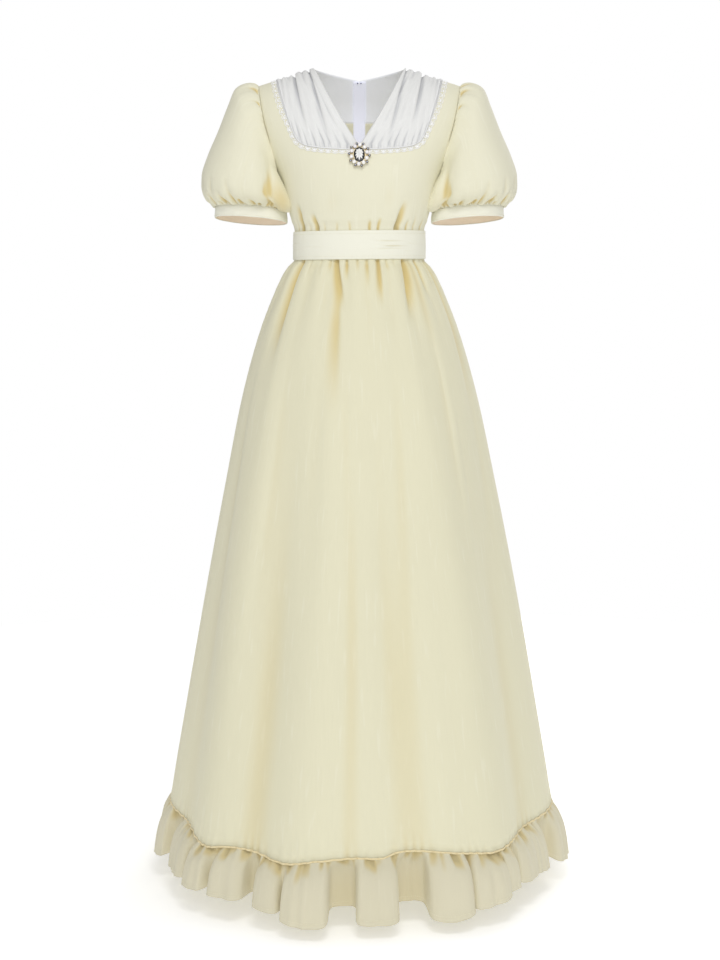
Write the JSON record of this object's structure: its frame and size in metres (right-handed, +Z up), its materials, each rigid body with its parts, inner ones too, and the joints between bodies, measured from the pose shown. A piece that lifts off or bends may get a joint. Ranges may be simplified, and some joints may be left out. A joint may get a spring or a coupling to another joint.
{
  "type": "tiered maxi dress",
  "caption": "Hollow floor-length gown in its worn form: puff sleeves, chiffon yoke, high sash, gathered skirt with a hem flounce, and a back zip with a pull that swings.",
  "frame": {"origin": "middle of the neck, at the height of the two shoulder-neck points, where the wearer's shoulders carry the gown", "axes": "+Z up the body, -Y out of the front, +X towards the wearer's left"},
  "size_m": [0.7628, 0.8317, 1.4691],
  "materials": {
    "cream_cotton": "matte woven cotton with a slight slub",
    "pale_cotton": "matte woven cotton, a paler cream",
    "white_chiffon": "sheer crinkled chiffon, doubled",
    "white_lace": "scalloped cotton lace",
    "zip_tape": "woven tape",
    "white_enamel": "white enamel on metal",
    "gold_setting": "gold-toned metal",
    "black_cameo": "polished black with a raised flower"
  },
  "bodies": {
    "gown": {"bodice_front": "cream_cotton", "bodice_back_left": "cream_cotton", "bodice_back_right": "cream_cotton", "yoke_front_left": "white_chiffon", "yoke_front_right": "white_chiffon", "yoke_back_left": "white_chiffon", "yoke_back_right": "white_chiffon", "sleeve_left": "cream_cotton", "sleeve_right": "cream_cotton", "cuff_left": "pale_cotton", "cuff_right": "pale_cotton", "sash": "pale_cotton", "skirt_front": "cream_cotton", "skirt_back_left": "cream_cotton", "skirt_back_right": "cream_cotton", "flounce_front": "cream_cotton", "flounce_back": "cream_cotton", "lace_front": "white_lace", "zip_tape": "zip_tape", "zip_slider": "white_enamel", "brooch_setting": "gold_setting", "brooch_cameo": "black_cameo"},
    "zip_pull": {"zip_pull": "white_enamel"}
  },
  "joints": [
    {"name": "zip_pull_swing", "type": "hinge", "parent": "gown", "child": "zip_pull", "pos_m": [0, 0.07433, -0.02753], "axis": [1, 0, 0], "range_deg": [0, 150]}
  ]
}
